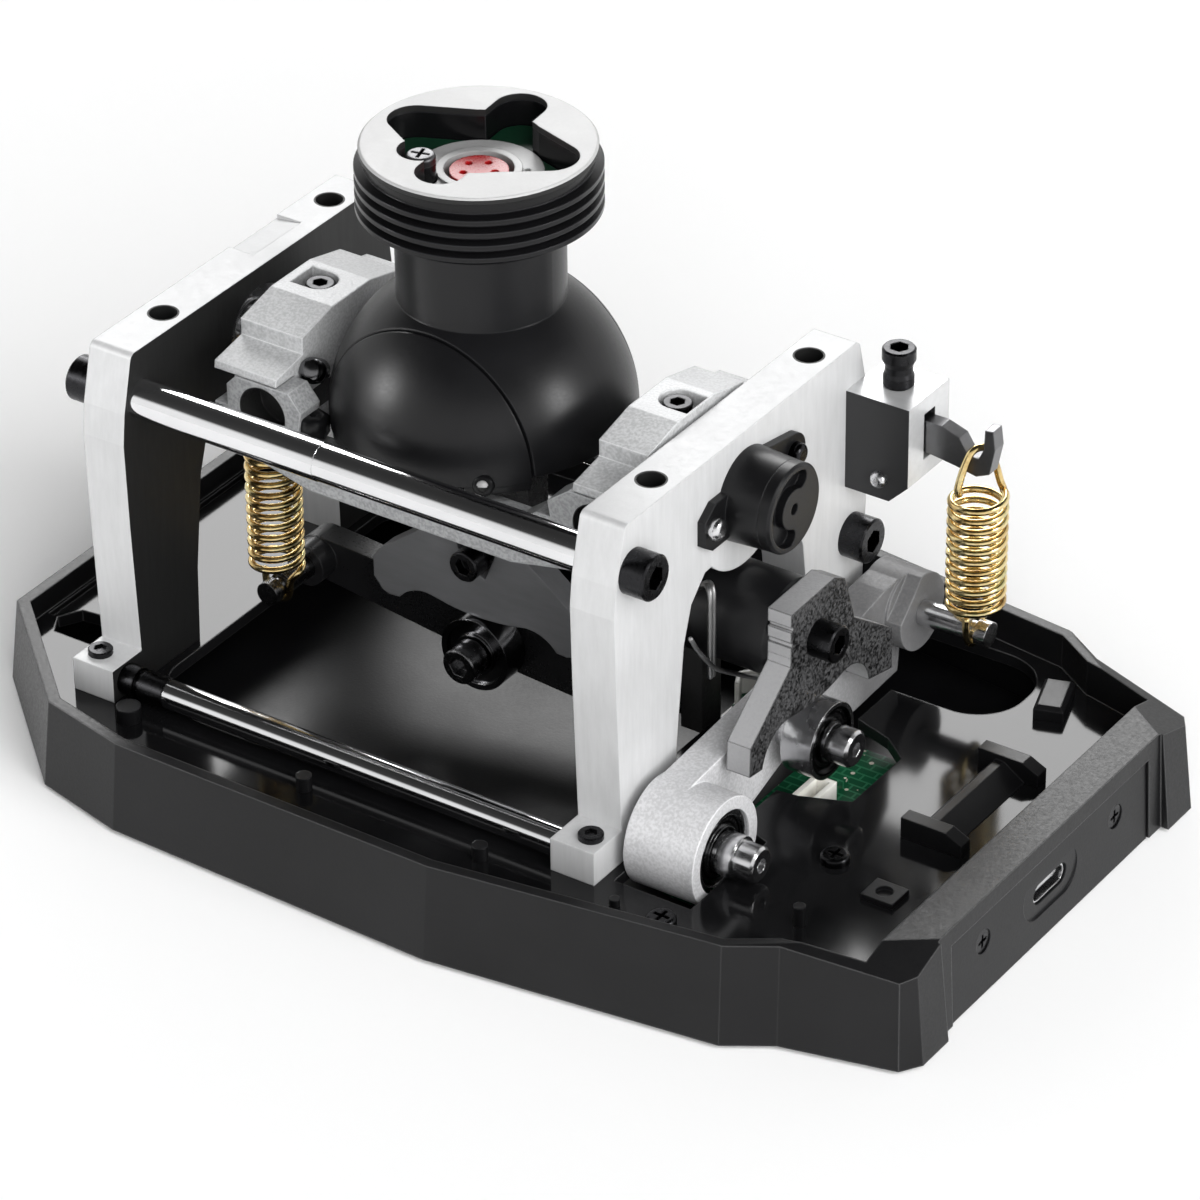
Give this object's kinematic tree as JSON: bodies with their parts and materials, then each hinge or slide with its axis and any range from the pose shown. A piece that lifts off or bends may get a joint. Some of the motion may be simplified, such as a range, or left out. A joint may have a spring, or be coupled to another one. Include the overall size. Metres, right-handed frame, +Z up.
{
  "type": "flight joystick base",
  "caption": "Two-axis flight joystick base without its cover or grip: tray, two side plates, sprung cam gimbal, dome and threaded grip collar.",
  "frame": {"origin": "middle of the base's footprint, at the table under the rubber feet", "axes": "+X towards the end with the data inlet, +Z up, -Y towards the user's side with the two polished rods"},
  "size_m": [0.1686, 0.1116, 0.1004],
  "materials": {
    "black_tray": "satin walls with a glossy deck",
    "black_plastic": "satin black moulding",
    "black_gloss": "glossy black",
    "black_thread": "black finished threads",
    "black_screws": "black oxide screws",
    "plate_aluminium": "finely brushed, bead-blasted edges",
    "cast_metal": "cast and tumbled",
    "dark_cam": "dark satin plate",
    "polished_steel": "polished rod",
    "steel": "turned steel",
    "black_sleeve": "black sleeve",
    "gold_spring": "yellow-passivated spring wire",
    "rubber": "matt rubber",
    "board_green": "printed board with solder mask",
    "white_plastic": "white connector",
    "connector_metal": "turned ring",
    "red_core": "red connector",
    "collar_screw_steel": "small cross-head screw"
  },
  "bodies": {
    "base": {"base_tray": "black_tray", "deck_posts": "black_plastic", "clip_bracket": "black_plastic", "latch_block": "black_plastic", "case_screws": "black_screws", "end_panel": "black_plastic", "usb_inlet": "steel", "bottom_cover": "black_plastic", "rubber_feet": "rubber", "control_board": "board_green", "board_connector": "white_plastic", "side_plate_left": "plate_aluminium", "side_plate_right": "plate_aluminium", "tie_rods_upper": "polished_steel", "tie_rods_lower": "polished_steel", "low_rod_sleeves": "black_sleeve", "plate_screws": "black_screws", "plate_bearings": "steel", "sensor_housing": "black_plastic", "sensor_cap": "black_gloss", "sensor_nuts": "black_screws", "spring_anchor_block": "plate_aluminium", "arm_pivot_shaft": "steel", "outer_spring": "gold_spring"},
    "spring_hook": {"outer_hook": "steel"},
    "tension_adjuster": {"tension_screw": "black_screws"},
    "yoke": {"yoke_frame": "cast_metal", "saddle_cap_left": "plate_aluminium", "saddle_cap_right": "plate_aluminium", "yoke_screws": "black_screws", "axle_stub_left": "steel", "axle_stub_right": "steel", "dome_cap_front": "black_plastic", "dome_cap_rear": "black_plastic", "stick_bearings": "steel", "cam_carrier": "black_plastic", "outer_cam": "cast_metal", "inner_pivot_pin": "steel", "inner_hook": "steel", "inner_spring": "gold_spring"},
    "stick": {"stick_column": "black_plastic", "thread_collar": "black_thread", "collar_plate": "plate_aluminium", "connector_ring": "connector_metal", "connector_core": "red_core", "collar_board": "board_green", "collar_screw": "collar_screw_steel", "stick_axle": "steel", "cam_hanger": "cast_metal", "inner_cam": "dark_cam", "inner_cam_screw": "black_screws"},
    "outer_follower": {"outer_arm": "cast_metal", "outer_arm_bearings": "steel", "outer_roller_axle": "steel", "outer_spring_pin": "steel"},
    "outer_roller_ring": {"outer_roller": "steel"},
    "inner_follower": {"inner_arm": "cast_metal", "inner_roller_bolt": "black_screws", "inner_spring_pin": "steel"},
    "inner_roller_ring": {"inner_roller": "steel"}
  },
  "joints": [
    {"name": "roll_axis", "type": "hinge", "parent": "base", "child": "yoke", "pos_m": [-0.0171, 0, 0.0568], "axis": [1, 0, 0], "range_deg": [-13, 13], "stiffness_Nm_per_rad": 0.6},
    {"name": "pitch_axis", "type": "hinge", "parent": "yoke", "child": "stick", "pos_m": [-0.0156, 0, 0.0568], "axis": [0, 1, 0], "range_deg": [-13, 13], "stiffness_Nm_per_rad": 0.6},
    {"name": "outer_follower_swing", "type": "hinge", "parent": "base", "child": "outer_follower", "pos_m": [0.0349, -0.026, 0.0145], "axis": [-1, 0, 0], "range_deg": [0, 5], "stiffness_Nm_per_rad": 0.3, "springref_deg": -11.46, "deforming": ["outer_spring"]},
    {"name": "inner_follower_swing", "type": "hinge", "parent": "yoke", "child": "inner_follower", "pos_m": [0.0104, 0.002, 0.0138], "axis": [0, -1, 0], "range_deg": [0, 5], "stiffness_Nm_per_rad": 0.3, "springref_deg": -11.46, "deforming": ["inner_spring"]},
    {"name": "outer_roller_spin", "type": "hinge", "parent": "outer_follower", "child": "outer_roller_ring", "pos_m": [0.0425, 0, 0.0196], "axis": [1, 0, 0], "continuous": true},
    {"name": "inner_roller_spin", "type": "hinge", "parent": "inner_follower", "child": "inner_roller_ring", "pos_m": [-0.0156, -0.0016, 0.0151], "axis": [0, 1, 0], "continuous": true},
    {"name": "tension_screw_turn", "type": "hinge", "parent": "base", "child": "tension_adjuster", "pos_m": [0.0353, 0.033, 0.0618], "axis": [0, 0, 1], "range_deg": [-413, 413]},
    {"name": "hook_travel", "type": "slide", "parent": "base", "child": "spring_hook", "axis": [0, 0, 1], "range_m": [-0.0008, 0.0008]}
  ],
  "couplings": [
    {"joint": "tension_screw_turn", "follows": "hook_travel", "rad_per_m": 8976}
  ]
}
